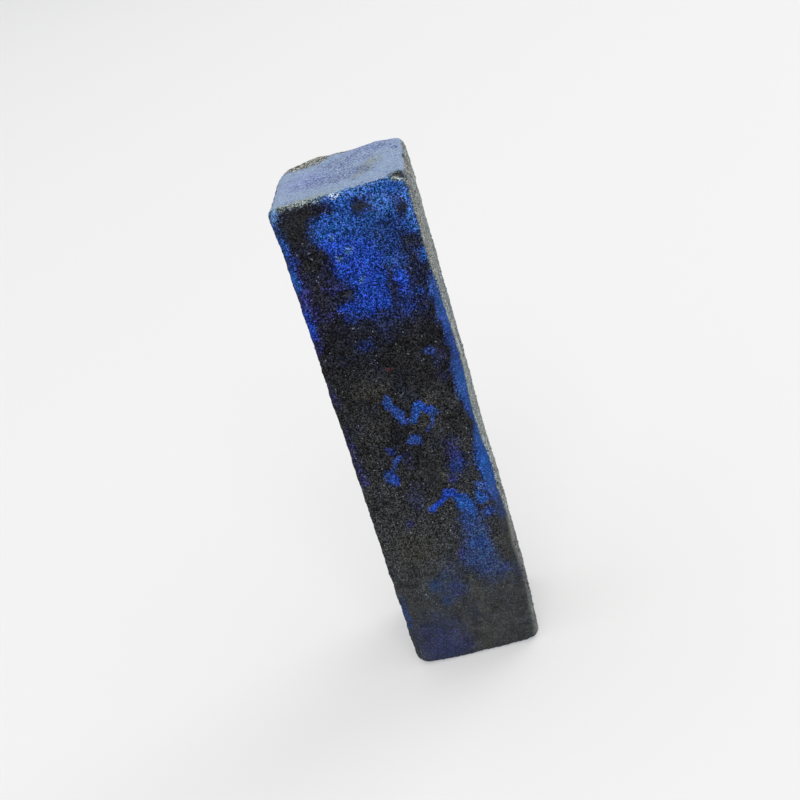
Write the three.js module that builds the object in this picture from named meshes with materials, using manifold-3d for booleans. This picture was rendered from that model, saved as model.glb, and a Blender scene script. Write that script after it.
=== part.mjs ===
// Rough sapphire: a bar sawn from dark blue rough, standing on its flat sawn end.
// Millimetres, +Z up, the better face towards -Y. The origin is on the resting plane,
// under the middle of the block. The whole bar is one piece of stone, so it is one mesh.

import * as THREE from 'three';
import { mergeVertices } from 'three/addons/utils/BufferGeometryUtils.js';
import Module from 'manifold-3d';

const wasm = await Module();
wasm.setup();

// Driving dimensions: the bar between its saw cuts.
const WIDTH = 22.95;
const DEPTH = 24.0;
const HEIGHT = 90.0;

// Wear along the arrises, and the rounder wear of each of the eight corners.
const EDGE_RADIUS = 1.3;
const CORNER_REACH = 7.0;
const CORNERS = [
  { side: [-1, -1, 1], radius: 1.4 },
  { side: [1, -1, 1], radius: 1.8 },
  { side: [-1, 1, 1], radius: 3.3 },
  { side: [1, 1, 1], radius: 1.7 },
  { side: [-1, -1, 0], radius: 2.2 },
  { side: [1, -1, 0], radius: 1.9 },
  { side: [-1, 1, 0], radius: 2.2 },
  { side: [1, 1, 0], radius: 2.8 },
];

// Facets: two across each worn arris, the rest near this length.
const FACET = 1.75;

// The right side was sawn a little askew: its back edge runs inwards towards the foot,
// and its front edge swells outwards in a few places (height up the bar, half length, swell).
const BACK_EDGE_IN_AT_FOOT = 0.9;
const BACK_EDGE_IN_AT_TOP = 0.3;
const FRONT_SWELLS = [
  { at: 59, reach: 8.5, out: 0.55 },
  { at: 37.5, reach: 4.5, out: 0.4 },
  { at: 27, reach: 6.5, out: 0.75 },
  { at: 13.5, reach: 6.5, out: 0.7 },
];

// The left side keeps a slight lip below its front top corner.
const LEFT_LIP = { at: 88.5, reach: 3.5, out: 0.4 };

// The top rises towards the back and ends there in two low humps.
const TOP_RISE = 0.8;
const TOP_RISE_FROM = -4.0;
const TOP_HUMPS = [
  { at: -4.0, reach: 4.6, up: 0.45 },
  { at: 6.2, reach: 3.8, up: 0.45 },
];
const TOP_BLEND = 4.0;

// Height of the slow lumps on each side, and their two sizes. The back is natural crust.
const LUMPS = { left: 0.2, right: 0.24, front: 0.15, back: 0.6, top: 0.16 };
const LUMP_SIZE = 7.0;
const SMALL_LUMP_SIZE = 3.1;
const SMALL_LUMP_SHARE = 0.4;
const FOOT_BLEND = 3.0;

// What scatters the lumps: odd steps through a sine wave, spread over many turns.
const LATTICE_MIX = [127.1, 311.7, 74.7];
const LATTICE_SPREAD = 43758.5453;

// Parting ledges on the crust: each is a lip that runs slanting across the back.
const LEDGES = [
  { height: 78, slope: -0.35, depth: 0.6 },
  { height: 52, slope: 0.5, depth: 0.75 },
  { height: 29, slope: -0.25, depth: 0.55 },
  { height: 13, slope: 0.4, depth: 0.45 },
];
const LEDGE_LIP = 1.6;
const LEDGE_FALL = 8.0;

// Shell-shaped chips: where each ball of missing stone is centred, and its half sizes.
const CHIPS = [
  { at: [11.0, -11.4, 91.0], half: [2.4, 3.1, 1.7] }, // top front right corner
  { at: [-12.2, -4.6, 90.9], half: [1.2, 1.1, 1.5] }, // nick in the top left edge
  { at: [13.0, -12.4, 19.6], half: [1.3, 1.3, 1.3] }, // nick low in the right front edge
  { at: [-12.4, 14.8, 63.0], half: [4.8, 4.2, 9.5] }, // left back edge, high
  { at: [-12.8, 13.4, 25.0], half: [3.3, 3.2, 6.0] }, // left back edge, low
  { at: [12.4, 13.4, 15.0], half: [3.4, 3.2, 5.0] }, // right back edge, low
  { at: [4.0, 16.0, 2.0], half: [7.0, 4.7, 5.5] }, // foot of the back
  { at: [5.0, 17.4, 44.0], half: [8.5, 6.4, 11.0] }, // middle of the back
];
const CHIP_DETAIL = 3;
const WELD_DISTANCE = 1e-4;

const STONE = new THREE.MeshStandardMaterial({
  color: 0x25304f,
  roughness: 0.62,
  metalness: 0.0,
  flatShading: true,
});

const clamp = THREE.MathUtils.clamp;
const smoothstep = THREE.MathUtils.smoothstep;
const swell = (distance, reach) => Math.exp(-((distance / reach) ** 2));

// A fixed value from 0 to 1 for each corner of a cubic lattice.
function latticeValue(i, j, k) {
  const wave = Math.sin(i * LATTICE_MIX[0] + j * LATTICE_MIX[1] + k * LATTICE_MIX[2]) * LATTICE_SPREAD;
  return wave - Math.floor(wave);
}

// Smooth lumps from -1 to 1: lattice values blended across each cell of the given size.
function lump(point, size) {
  const cell = point.clone().divideScalar(size);
  const base = cell.clone().floor();
  const ease = cell.sub(base).toArray().map((t) => t * t * (3 - 2 * t));
  let sum = 0;
  for (let corner = 0; corner < 8; corner += 1) {
    const step = [corner & 1, (corner >> 1) & 1, (corner >> 2) & 1];
    const share = step.reduce((part, up, axis) => part * (up ? ease[axis] : 1 - ease[axis]), 1);
    sum += share * latticeValue(base.x + step[0], base.y + step[1], base.z + step[2]);
  }
  return 2 * sum - 1;
}

// Wear radius at a point: the arris radius, growing towards each corner.
function wearRadius(point) {
  let radius = EDGE_RADIUS;
  for (const corner of CORNERS) {
    const [sideX, sideY, sideZ] = corner.side;
    const tip = new THREE.Vector3(sideX * WIDTH / 2, sideY * DEPTH / 2, sideZ * HEIGHT);
    const near = 1 - smoothstep(point.distanceTo(tip), 0, CORNER_REACH);
    radius += (corner.radius - EDGE_RADIUS) * near;
  }
  return radius;
}

// The plain bar with worn arrises: a point of the sharp box goes to the rounded one.
function wear(point) {
  const radius = wearRadius(point);
  const core = new THREE.Vector3(
    clamp(point.x, radius - WIDTH / 2, WIDTH / 2 - radius),
    clamp(point.y, radius - DEPTH / 2, DEPTH / 2 - radius),
    clamp(point.z, radius, HEIGHT - radius),
  );
  const normal = point.clone().sub(core).normalize();
  return { position: core.addScaledVector(normal, radius), normal };
}

// How far the askew right side stands out (or in) from the true box.
function rightSideShift(point) {
  const towardsBack = clamp(point.y / DEPTH + 0.5, 0, 1);
  let frontEdge = 0;
  for (const bulge of FRONT_SWELLS) {
    frontEdge += bulge.out * swell(point.z - bulge.at, bulge.reach);
  }
  const climb = clamp(point.z / HEIGHT, 0, 1);
  const backEdge = -THREE.MathUtils.lerp(BACK_EDGE_IN_AT_FOOT, BACK_EDGE_IN_AT_TOP, climb);
  const shift = THREE.MathUtils.lerp(frontEdge, backEdge, towardsBack);
  return shift * smoothstep(point.x, 0, WIDTH / 2);
}

// How far the left side stands out in its lip, which fades towards the back.
function leftSideLip(point) {
  const towardsFront = 1 - smoothstep(point.y, -DEPTH / 2, DEPTH / 4);
  return LEFT_LIP.out * swell(point.z - LEFT_LIP.at, LEFT_LIP.reach) * towardsFront
    * smoothstep(-point.x, 0, WIDTH / 2);
}

// How far the top stands above its front edge.
function topRise(point) {
  let rise = TOP_RISE;
  for (const hump of TOP_HUMPS) {
    rise += hump.up * swell(point.x - hump.at, hump.reach);
  }
  const towardsBack = smoothstep(point.y, TOP_RISE_FROM, DEPTH / 2);
  return rise * towardsBack * smoothstep(point.z, HEIGHT - TOP_BLEND, HEIGHT);
}

// How deep the crust is set back below the parting ledges at a point of the back.
function ledgeDepth(point) {
  let depth = 0;
  for (const ledge of LEDGES) {
    const below = ledge.height + ledge.slope * point.x - point.z;
    depth += ledge.depth * smoothstep(below, 0, LEDGE_LIP) * Math.exp(-Math.max(below, 0) / LEDGE_FALL);
  }
  return depth;
}

// Height of the slow lumps at a point, from the sides that its normal faces.
function lumpHeight(point, normal) {
  const share = (facing) => Math.max(facing, 0) ** 2;
  const height = LUMPS.left * share(-normal.x) + LUMPS.right * share(normal.x)
    + LUMPS.front * share(-normal.y) + LUMPS.back * share(normal.y) + LUMPS.top * share(normal.z);
  const slow = (1 - SMALL_LUMP_SHARE) * lump(point, LUMP_SIZE);
  const small = SMALL_LUMP_SHARE * lump(point, SMALL_LUMP_SIZE);
  return height * (slow + small);
}

// The sawn block's surface at a point of the sharp box.
function surface(point) {
  const { position, normal } = wear(point);
  const aboveFoot = smoothstep(position.z, 0, FOOT_BLEND);
  const crust = Math.max(normal.y, 0) ** 2;
  const lift = lumpHeight(position, normal) - ledgeDepth(position) * crust;
  const shape = position.clone().addScaledVector(normal, lift * aboveFoot);
  shape.x += rightSideShift(position) - leftSideLip(position);
  shape.z += topRise(position);
  return shape;
}

// Grid stations along one side: close together over each worn arris, even between.
function stations(length) {
  const arris = [0, EDGE_RADIUS * (1 - Math.tan(Math.PI / 8)), EDGE_RADIUS];
  const inner = length - 2 * EDGE_RADIUS;
  const count = Math.round(inner / FACET);
  const between = Array.from({ length: count - 1 }, (_, i) => EDGE_RADIUS + (inner * (i + 1)) / count);
  const far = arris.map((near) => length - near).reverse();
  return [...arris, ...between, ...far];
}

function sawnBlock() {
  const [alongX, alongY, alongZ] = [WIDTH, DEPTH, HEIGHT].map(stations);
  const [stepsX, stepsY, stepsZ] = [alongX, alongY, alongZ].map((list) => list.length - 1);
  const box = new THREE.BoxGeometry(stepsX, stepsY, stepsZ, stepsX, stepsY, stepsZ);
  const position = box.attributes.position;
  const point = new THREE.Vector3();
  for (let i = 0; i < position.count; i += 1) {
    point.set(
      alongX[Math.round(position.getX(i) + stepsX / 2)] - WIDTH / 2,
      alongY[Math.round(position.getY(i) + stepsY / 2)] - DEPTH / 2,
      alongZ[Math.round(position.getZ(i) + stepsZ / 2)],
    );
    position.setXYZ(i, ...surface(point));
  }
  return box;
}

function chipBall(chip) {
  const ball = new THREE.IcosahedronGeometry(1, CHIP_DETAIL);
  ball.scale(...chip.half);
  ball.translate(...chip.at);
  return ball;
}

// A three.js geometry as a closed solid, and back.
function toSolid(geometry) {
  geometry.deleteAttribute('normal');
  geometry.deleteAttribute('uv');
  const merged = mergeVertices(geometry, WELD_DISTANCE);
  return new wasm.Manifold(new wasm.Mesh({
    numProp: 3,
    vertProperties: merged.attributes.position.array,
    triVerts: merged.index.array,
  }));
}

function toGeometry(solid) {
  const mesh = solid.getMesh();
  const geometry = new THREE.BufferGeometry();
  geometry.setAttribute('position', new THREE.BufferAttribute(mesh.vertProperties, 3));
  geometry.setIndex(new THREE.BufferAttribute(mesh.triVerts, 1));
  return geometry;
}

function roughSapphire() {
  let solid = toSolid(sawnBlock());
  for (const chip of CHIPS) {
    solid = solid.subtract(toSolid(chipBall(chip)));
  }
  const geometry = toGeometry(solid);
  geometry.computeBoundingBox();
  const middle = geometry.boundingBox.getCenter(new THREE.Vector3());
  geometry.translate(-middle.x, -middle.y, -geometry.boundingBox.min.z);
  geometry.computeVertexNormals();
  const mesh = new THREE.Mesh(geometry, STONE);
  mesh.name = 'rough_sapphire';
  return mesh;
}

const group = new THREE.Group();
group.name = 'rough sapphire bar';
group.add(roughSapphire());

export default group;
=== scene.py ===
# %% [markdown]
# # A bar of rough sapphire
# The object is one piece of stone: a bar sawn from dark blue corundum rough, standing on its sawn end.
# Blender could carve it by hand or push a subdivided cube about with textures. Here every point of its
# skin is worked out with numpy instead, because then the shape, the wear, the grain and the colour
# zones are all functions of place, which can be read, changed and run again with the same result.

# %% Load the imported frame
import math

import bpy
import numpy as np
from mathutils import Matrix, Vector


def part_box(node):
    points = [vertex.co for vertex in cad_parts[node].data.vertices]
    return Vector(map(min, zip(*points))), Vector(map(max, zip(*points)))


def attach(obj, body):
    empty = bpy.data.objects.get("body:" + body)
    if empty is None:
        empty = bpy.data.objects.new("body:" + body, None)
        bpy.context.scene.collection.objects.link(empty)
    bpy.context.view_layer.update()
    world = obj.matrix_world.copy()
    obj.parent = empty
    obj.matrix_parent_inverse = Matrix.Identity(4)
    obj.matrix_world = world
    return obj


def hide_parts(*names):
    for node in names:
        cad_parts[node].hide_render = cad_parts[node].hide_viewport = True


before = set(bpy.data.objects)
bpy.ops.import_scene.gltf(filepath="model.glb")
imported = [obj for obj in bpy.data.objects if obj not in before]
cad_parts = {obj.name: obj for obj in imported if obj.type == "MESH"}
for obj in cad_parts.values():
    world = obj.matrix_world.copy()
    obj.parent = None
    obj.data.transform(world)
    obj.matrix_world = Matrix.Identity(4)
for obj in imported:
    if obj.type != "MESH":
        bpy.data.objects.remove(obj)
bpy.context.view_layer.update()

MM = 0.001
NODE = "rough_sapphire"
cad_low, cad_high = (np.array(corner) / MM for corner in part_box(NODE))
print("frame node", NODE, "spans", cad_low.round(2), "to", cad_high.round(2), "mm")

# %% [markdown]
# ## The size of the bar
# The imported solid was shaped from a few driving sizes. The same sizes are named again here,
# in millimetres, so that the fine skin lies where the solid does: the saw cuts, the wear of the
# arrises and corners, the askew right side, the humps of the top, the lumps and ledges, the chips.

# %% Driving sizes
SIZE = np.array([22.95, 24.0, 90.0])
LOW = np.array([-SIZE[0] / 2, -SIZE[1] / 2, 0.0])
HIGH = LOW + SIZE
RIGHT, BACK, TOP = HIGH
LEFT, FRONT, FOOT = LOW

EDGE_RADIUS = 1.3
CORNER_REACH = 7.0
CORNERS = [
    ((LEFT, FRONT, TOP), 1.4), ((RIGHT, FRONT, TOP), 1.8),
    ((LEFT, BACK, TOP), 3.3), ((RIGHT, BACK, TOP), 1.7),
    ((LEFT, FRONT, FOOT), 2.2), ((RIGHT, FRONT, FOOT), 1.9),
    ((LEFT, BACK, FOOT), 2.2), ((RIGHT, BACK, FOOT), 2.8),
]
BACK_EDGE_IN_AT_FOOT, BACK_EDGE_IN_AT_TOP = 0.9, 0.3
# Each swell: how high it sits, its reach up and down, how far it stands out.
FRONT_SWELLS = [(59, 8.5, 0.55), (37.5, 4.5, 0.4), (27, 6.5, 0.75), (13.5, 6.5, 0.7)]
LIP_AT, LIP_REACH, LIP_OUT, LIP_ENDS = 88.5, 3.5, 0.4, SIZE[1] / 4
TOP_RISE, TOP_RISE_FROM, TOP_BLEND = 0.8, -4.0, 4.0
# Each hump: how far right it sits, its reach, its height.
TOP_HUMPS = [(-4.0, 4.6, 0.45), (6.2, 3.8, 0.45)]
LUMPS = {"left": 0.2, "right": 0.24, "front": 0.15, "back": 0.6, "top": 0.16}
LUMP_SIZE, SMALL_LUMP_SIZE, SMALL_LUMP_SHARE, FOOT_BLEND = 7.0, 3.1, 0.4, 3.0
# Each ledge: how high its lip is, its slope, how deep the crust is set back below it.
LEDGES = [(78, -0.35, 0.6), (52, 0.5, 0.75), (29, -0.25, 0.55), (13, 0.4, 0.45)]
LEDGE_LIP, LEDGE_FALL = 1.6, 8.0
print("the sharp bar before wear:", SIZE, "mm")

# %% [markdown]
# ## Noise without randomness
# A natural surface needs irregular lumps, but they have to come out the same in every run and the same
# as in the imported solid. So each corner of a cubic lattice gets a fixed value from an odd formula, and
# the values are blended across each cell. This is what a Noise texture does inside Blender too.

# %% Lattice noise
LATTICE_MIX = np.array([127.1, 311.7, 74.7])
LATTICE_SPREAD = 43758.5453
LAYER_SHIFT, LAYER_HEIGHT = 17.3, 0.55
CELL_CORNERS = np.array([[i, j, k] for i in (0, 1) for j in (0, 1) for k in (0, 1)])


def smoothstep(value, low, high):
    """0 below low, 1 above high, and 3t^2 - 2t^3 on the way, where t is the share of the way."""
    t = np.clip((value - low) / (high - low), 0, 1)
    return t * t * (3 - 2 * t)


def fade(value, low, high):
    """1 below low, 0 above high: smoothstep the other way round."""
    return 1 - smoothstep(value, low, high)


def swell(distance, reach):
    """A bell that is 1 at distance 0: e to the power of minus (distance / reach) squared."""
    return np.exp(-(distance / reach) ** 2)


def lattice_value(corner):
    """A fixed value from 0 to 1: the fractional part of a very tall sine wave at odd steps."""
    wave = np.sin(corner @ LATTICE_MIX) * LATTICE_SPREAD
    return wave - np.floor(wave)


def lump(points, size):
    """Smooth lumps from -1 to 1: the eight lattice values round each point, blended by nearness."""
    cell = points / size
    base = np.floor(cell)
    t = cell - base
    ease = t * t * (3 - 2 * t)
    total = np.zeros(len(points))
    for step in CELL_CORNERS:
        share = np.where(step, ease, 1 - ease).prod(axis=1)
        total += share * lattice_value(base + step)
    return 2 * total - 1


def fractal(points, size, layers=3, seed=0.0):
    """Lumps on lumps: each layer has half the size and about half the height of the one before."""
    total, height, reach = np.zeros(len(points)), 1.0, 0.0
    for layer in range(layers):
        total += height * lump(points + seed + LAYER_SHIFT * layer, size / 2 ** layer)
        reach += height
        height *= LAYER_HEIGHT
    return total / reach


print("noise at the origin corner:", lump(np.zeros((1, 3)), 1.0).round(4))

# %% [markdown]
# ## The worn bar
# A saw leaves a box. Handling and tumbling round its arrises by about a millimetre and its corners by
# more. A Bevel modifier could do that, but not with a radius that changes from corner to corner. So a
# point of the sharp box is pulled back into a core that is smaller all round by the wear radius, and
# then pushed out again by that radius: flats stay flat, and edges become quarter rounds.

# %% Wear
def wear_radius(points):
    """The arris radius, and more within reach of each corner."""
    radius = np.full(len(points), EDGE_RADIUS)
    for tip, corner_radius in CORNERS:
        near = fade(np.linalg.norm(points - tip, axis=1), 0, CORNER_REACH)
        radius += (corner_radius - EDGE_RADIUS) * near
    return radius


def wear(points):
    """The nearest point of the inner core, plus the wear radius along the way out; and that way out."""
    radius = wear_radius(points)[:, None]
    core = np.clip(points, LOW + radius, HIGH - radius)
    normal = points - core
    normal /= np.linalg.norm(normal, axis=1)[:, None]
    return core + radius * normal, normal


print("wear radius at the front left top corner:", wear_radius(np.array([[LEFT, FRONT, TOP]])), "mm")

# %% [markdown]
# ## What the saw and the years left
# No side is quite flat. The right one is askew and swells in places, the left has a lip near the top, the
# top climbs to the back, and the crust of the back hangs over in ledges. A Displace modifier could push
# all that out of one texture. Here each is a short formula of its own, so each can be changed alone.

# %% The shape of each side
def right_side_shift(points):
    """The front edge swells out by the sum of its bells, the back edge runs in towards the foot."""
    towards_back = np.clip(points[:, 1] / SIZE[1] + 0.5, 0, 1)
    front_edge = sum(out * swell(points[:, 2] - at, reach) for at, reach, out in FRONT_SWELLS)
    climb = np.clip(points[:, 2] / TOP, 0, 1)
    back_edge = -(BACK_EDGE_IN_AT_FOOT + (BACK_EDGE_IN_AT_TOP - BACK_EDGE_IN_AT_FOOT) * climb)
    shift = front_edge + (back_edge - front_edge) * towards_back
    return shift * smoothstep(points[:, 0], 0, RIGHT)


def left_side_lip(points):
    """A bell of height up the left side near the top, fading from the front towards the back."""
    towards_front = fade(points[:, 1], FRONT, LIP_ENDS)
    bell = LIP_OUT * swell(points[:, 2] - LIP_AT, LIP_REACH)
    return bell * towards_front * smoothstep(-points[:, 0], 0, RIGHT)


def top_rise(points):
    """A slope up to the back of the top, with two humps along it."""
    rise = TOP_RISE + sum(up * swell(points[:, 0] - at, reach) for at, reach, up in TOP_HUMPS)
    towards_back = smoothstep(points[:, 1], TOP_RISE_FROM, BACK)
    return rise * towards_back * smoothstep(points[:, 2], TOP - TOP_BLEND, TOP)


def ledge_depth(points):
    """Below each slanting lip the crust is set back, and comes out again further down."""
    depth = np.zeros(len(points))
    for height, slope, deep in LEDGES:
        below = height + slope * points[:, 0] - points[:, 2]
        depth += deep * smoothstep(below, 0, LEDGE_LIP) * np.exp(-np.maximum(below, 0) / LEDGE_FALL)
    return depth


def lump_height(points, normal):
    """Slow lumps, whose height depends on the side: squares of the normal's parts share it out."""
    out, back_in = np.maximum(normal, 0) ** 2, np.maximum(-normal, 0) ** 2
    height = (LUMPS["left"] * back_in[:, 0] + LUMPS["right"] * out[:, 0] + LUMPS["front"] * back_in[:, 1]
              + LUMPS["back"] * out[:, 1] + LUMPS["top"] * out[:, 2])
    slow = (1 - SMALL_LUMP_SHARE) * lump(points, LUMP_SIZE)
    return height * (slow + SMALL_LUMP_SHARE * lump(points, SMALL_LUMP_SIZE))


print("rise at the middle of the top's back edge:", top_rise(np.array([[0, BACK, TOP]])).round(2), "mm")

# %% [markdown]
# All of it is then put on in one order. The bar is worn first. Lumps and ledges lift or sink each point
# along its own way out, and fade close to the foot, so that the edge it stands on stays true. Last, the
# right side, the lip and the top are shifted as wholes.

# %% The whole sawn block
def sawn_block(points):
    """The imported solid's own surface at points of the sharp box, and the direction it faces there."""
    worn, normal = wear(points)
    above_foot = smoothstep(worn[:, 2], 0, FOOT_BLEND)
    lift = lump_height(worn, normal) - ledge_depth(worn) * np.maximum(normal[:, 1], 0) ** 2
    shape = worn + normal * (lift * above_foot)[:, None]
    shape[:, 0] += right_side_shift(worn) - left_side_lip(worn)
    shape[:, 2] += top_rise(worn)
    return shape, normal


print("the sharp front left foot corner goes to", sawn_block(np.array([LOW]))[0].round(2), "mm")

# %% [markdown]
# ## Chips
# Corundum breaks like thick glass, in shell-shaped hollows. A Boolean with a ball would cut them, but it
# would also cut the even grid that the grain needs. So each point that falls inside a ball of missing
# stone slides along one direction, into the bar, until it comes out on the far wall of that ball.

# %% Chips
# Each chip: the middle of its ball, the ball's half sizes, and the way its points slide.
CHIPS = [
    ((11.0, -11.4, 91.0), (2.4, 3.1, 1.7), (-0.35, 0.35, -0.87)),
    ((-12.2, -4.6, 90.9), (1.2, 1.1, 1.5), (0.6, 0.0, -0.8)),
    ((13.0, -12.4, 19.6), (1.3, 1.3, 1.3), (-0.7, 0.7, 0.0)),
    ((-12.4, 14.8, 63.0), (4.8, 4.2, 9.5), (0.6, -0.8, 0.0)),
    ((-12.8, 13.4, 25.0), (3.3, 3.2, 6.0), (0.7, -0.7, 0.0)),
    ((12.4, 13.4, 15.0), (3.4, 3.2, 5.0), (-0.7, -0.7, 0.0)),
    ((4.0, 16.0, 2.0), (7.0, 4.7, 5.5), (0.0, -1.0, 0.0)),
    ((5.0, 17.4, 44.0), (8.5, 6.4, 11.0), (0.0, -1.0, 0.0)),
]


def break_chips(points):
    """Solves |(point + t * into - centre) / half| = 1 for the far wall, and keeps how far each slid."""
    points, depth = points.copy(), np.zeros(len(points))
    for centre, half, into in CHIPS:
        offset = (points - centre) / half
        step = np.array(into) / np.linalg.norm(into) / half
        a, b, c = step @ step, offset @ step, (offset ** 2).sum(axis=1) - 1
        slide = np.where(c < 0, (-b + np.sqrt(np.maximum(b * b - a * c, 0))) / a, 0)
        points += slide[:, None] * np.array(into) / np.linalg.norm(into)
        depth = np.maximum(depth, slide)
    return points, depth


print(len(CHIPS), "chips")

# %% [markdown]
# ## The grid that covers the bar
# The skin is one closed sheet of small triangles, about as big as the grains of the stone (0.3 mm), so
# that every facet can stand for a grain. Each side of the box is a grid of squares with two parameters.
# Neighbouring sides share the points along their common edge, which closes the mesh. The diagonal of
# each square is drawn either way at random, so that no grid pattern shows.

# %% Grid of the six sides
FACET = 0.315
CELLS = np.round(SIZE / FACET).astype(int)
dice = np.random.default_rng(7)
UV_MARGIN = 0.004
STRIP = (1 - 6 * UV_MARGIN) / (2 * SIZE[0] + 2 * SIZE[1] + SIZE[1])
SIDES = [("front", 1, 0), ("right", 0, 1), ("back", 1, 1), ("left", 0, 0), ("foot", 2, 0), ("top", 2, 1)]


def side_rectangles():
    """Each side's place on the unwrapped sheet: four upright strips, then one end above the other."""
    places, across = {}, UV_MARGIN
    for name, axis, _ in SIDES[:4]:
        width = STRIP * (SIZE[0] if axis == 1 else SIZE[1])
        places[name] = (across, UV_MARGIN, width, 1 - 2 * UV_MARGIN)
        across += width + UV_MARGIN
    end_height = (1 - 2 * UV_MARGIN) * SIZE[1] / SIZE[2]
    places["foot"] = (across, UV_MARGIN, STRIP * SIZE[0], end_height)
    places["top"] = (across, 3 * UV_MARGIN + end_height, STRIP * SIZE[0], end_height)
    return places


def side_grid(axis, end, rectangle):
    """One side's squares: the lattice place of each corner, and its place on the unwrapped sheet."""
    across, up = (axis + 1) % 3, (axis + 2) % 3
    i, j = np.meshgrid(np.arange(CELLS[across] + 1), np.arange(CELLS[up] + 1), indexing="ij")
    place = np.zeros(i.shape + (3,), int)
    place[..., axis], place[..., across], place[..., up] = end * CELLS[axis], i, j
    flat_across, flat_up = {0: (1, 2), 1: (0, 2), 2: (0, 1)}[axis]
    u0, v0, width, height = rectangle
    sheet = np.stack([u0 + width * place[..., flat_across] / CELLS[flat_across],
                      v0 + height * place[..., flat_up] / CELLS[flat_up]], axis=-1)
    ring = [(slice(None, -1), slice(None, -1)), (slice(1, None), slice(None, -1)),
            (slice(1, None), slice(1, None)), (slice(None, -1), slice(1, None))]
    ring = ring if end else ring[::-1]
    corners = np.stack([place[r] for r in ring], axis=2).reshape(-1, 4, 3)
    flat = np.stack([sheet[r] for r in ring], axis=2).reshape(-1, 4, 2)
    return corners, flat


rectangles = side_rectangles()
grids = [side_grid(axis, end, rectangles[name]) for name, axis, end in SIDES]
square_places = np.concatenate([corners for corners, _ in grids])
square_sheet = np.concatenate([flat for _, flat in grids])
keys = square_places @ np.array([1, CELLS[0] + 1, (CELLS[0] + 1) * (CELLS[1] + 1)])
_, first, inverse = np.unique(keys, return_index=True, return_inverse=True)
lattice = square_places.reshape(-1, 3)[first]
squares = inverse.reshape(-1, 4)

DIAGONALS = np.array([[[0, 1, 2], [0, 2, 3]], [[0, 1, 3], [1, 2, 3]]])
pick = DIAGONALS[dice.integers(0, 2, len(squares))]
rows = np.arange(len(squares))[:, None, None]
triangles = squares[rows, pick].reshape(-1, 3)
sheet_places = square_sheet[rows, pick].reshape(-1, 3, 2)
print(len(lattice), "points,", len(triangles), "triangles, cells", CELLS)

# %% [markdown]
# ## Grain and pits
# Under a finger the stone is like coarse sugar. Three things make that: slow mottling of a millimetre
# or so, pits where grains have dropped out, and every single grain standing a little higher or lower
# than the next. The right side has fine streaks up and down. The back is natural skin, and corundum
# parts along flat planes, so lumpy noise is cut into a stair there: flat treads and short, steep risers.

# %% Fine relief
MOTTLE_SIZE, MOTTLE_HEIGHT = 1.5, 0.11
RIND_SIZE, RIND_HEIGHT, RIND_STRETCH = 10.0, 1.5, np.array([1.0, 1.0, 0.7])
RIND_SUNK = 0.3
STEPS, RISER_FROM, RISER_FOOT = 3.4, 0.74, 0.1
PIT_SIZE, PIT_DEPTH, PIT_SHIFT, PIT_LEVELS = 1.15, 0.25, 31.7, (0.42, 0.9)
GRAIN_HEIGHT, GRAIN_SPREAD = 0.042, 0.1
STREAK_STRETCH, STREAK_SHIFT = np.array([1.0, 1.0, 0.14]), 9.2
STREAK_SIZE, STREAK_HEIGHT = 0.7, 0.07
ROUGHER_BACK, ROUGHER_RIGHT, SMOOTHER_TOP = 0.8, 0.2, 0.45


def side_shares(normal):
    """How much each point faces right, back and so on: the squares of the normal's parts, which sum to 1."""
    out, back_in = np.maximum(normal, 0) ** 2, np.maximum(-normal, 0) ** 2
    return {"right": out[:, 0], "back": out[:, 1], "top": out[:, 2],
            "left": back_in[:, 0], "front": back_in[:, 1], "foot": back_in[:, 2]}


def fine_relief(points, normal):
    """Height of the mottling, minus the pits, plus the streaks of the right side, plus single grains."""
    side = side_shares(normal)
    rough = 1 + ROUGHER_BACK * side["back"] + ROUGHER_RIGHT * side["right"] - SMOOTHER_TOP * side["top"]
    mottle = MOTTLE_HEIGHT * fractal(points, MOTTLE_SIZE, 3, seed=5.1)
    pits = PIT_DEPTH * smoothstep(lump(points + PIT_SHIFT, PIT_SIZE), *PIT_LEVELS)
    streaky = lump(points * STREAK_STRETCH + STREAK_SHIFT, STREAK_SIZE)
    streaks = STREAK_HEIGHT * side["right"] * streaky
    grains = GRAIN_HEIGHT * dice.standard_normal(len(points))
    return rough * (mottle - pits + grains) + streaks


def rind(points):
    """Lumps cut into a stair, whole steps plus a riser each, and how near a riser's foot is."""
    stair = STEPS * fractal(points * RIND_STRETCH, RIND_SIZE, 4, seed=45.0)
    step = np.floor(stair)
    climb = stair - step
    return (step + smoothstep(climb, RISER_FROM, 1.0)) / STEPS, swell(climb - RISER_FROM, RISER_FOOT)


sharp_box = LOW + SIZE * lattice / CELLS
inside_face = ((lattice > 0) & (lattice < CELLS)).astype(float)
sharp_box = sharp_box + GRAIN_SPREAD * inside_face * dice.uniform(-1, 1, sharp_box.shape)
block, facing = sawn_block(sharp_box)
block, chip_depth = break_chips(block)
relief = fine_relief(block, facing)
rind_height, riser_foot = rind(block)
rind_share = side_shares(facing)["back"]
block += facing * (relief + rind_share * (RIND_HEIGHT * rind_height - RIND_SUNK))[:, None]
block[:, 2] = np.maximum(block[:, 2], FOOT)
print("relief from", relief.min().round(3), "to", relief.max().round(3), "mm")

middle = (block.min(axis=0) + block.max(axis=0)) / 2 - (cad_low + cad_high) / 2
middle[2] = 0.0
print("the bar is moved by", (0 - middle).round(3), "mm, so that its box is centred on the origin")

# %% [markdown]
# ## Where the blue lies
# Sapphire blue is a stain of iron and titanium that grows in zones, so the blue is laid out as it is in
# the stone: as named blobs and veins in the body of the bar, which show where the surface cuts them. An
# image would be quicker, but it would slide over the edges. Two numbers are kept for every point: the
# share of its grains that are blue, and which blue. Each blob is an ellipsoid whose outline wavers.

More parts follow.
